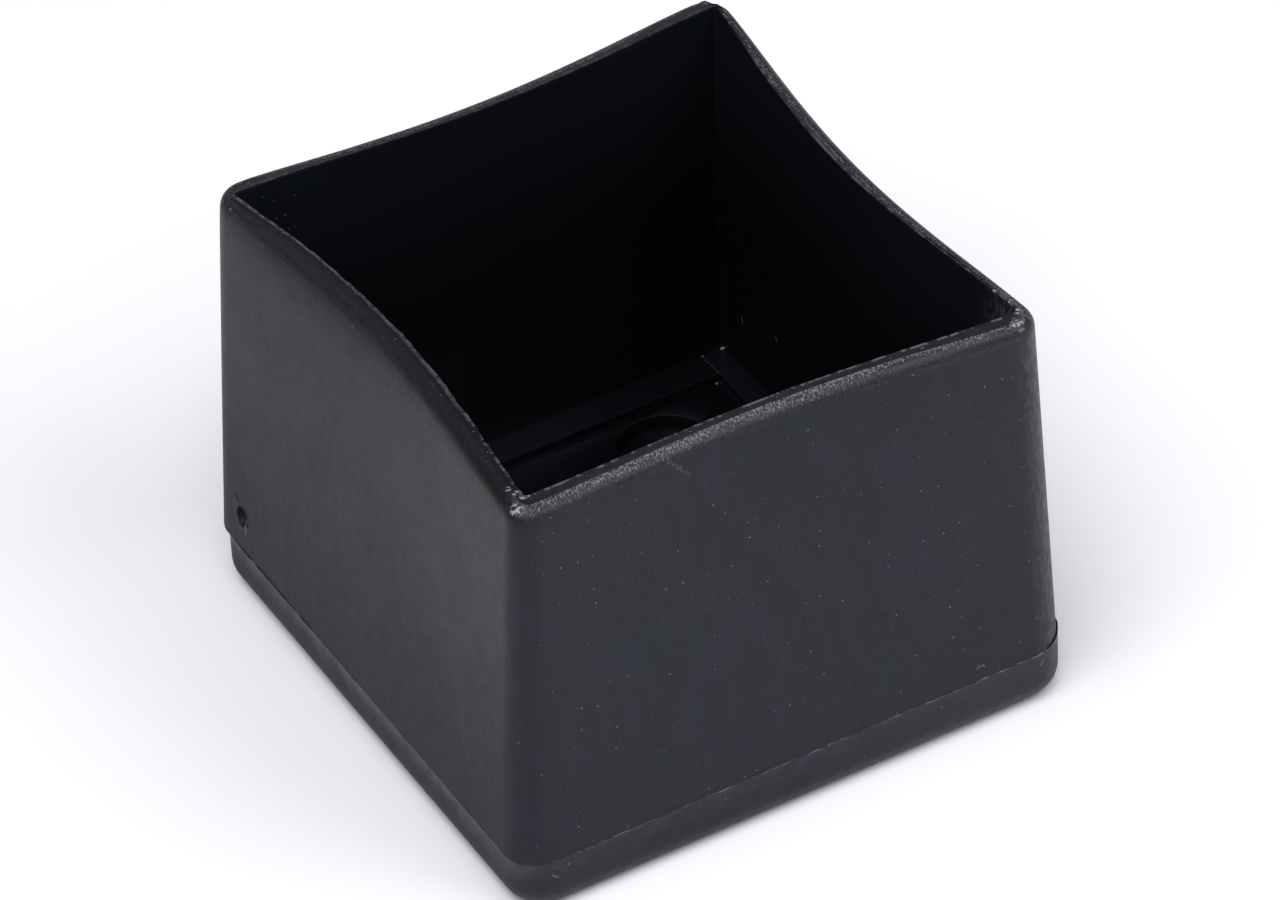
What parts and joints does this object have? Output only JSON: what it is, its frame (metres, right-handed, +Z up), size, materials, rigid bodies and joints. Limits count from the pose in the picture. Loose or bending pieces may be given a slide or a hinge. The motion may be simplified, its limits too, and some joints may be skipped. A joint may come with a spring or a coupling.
{
  "type": "square tube end cap",
  "caption": "Open-topped square cap in soft black plastic that pushes over the end of a square tube and serves as its foot.",
  "frame": {"origin": "middle of the flat underside, on the surface the cap stands on", "axes": "+Z up from the underside to the open mouth; +X and +Y square to the walls, with the front wall on -Y and the gate scar on the -X wall"},
  "size_m": [0.0501, 0.0503, 0.039],
  "materials": {
    "end_cap": "satin, as moulded, with a finely frosted edge at the rim"
  },
  "bodies": {
    "root": {"end_cap": "end_cap"}
  },
  "joints": []
}
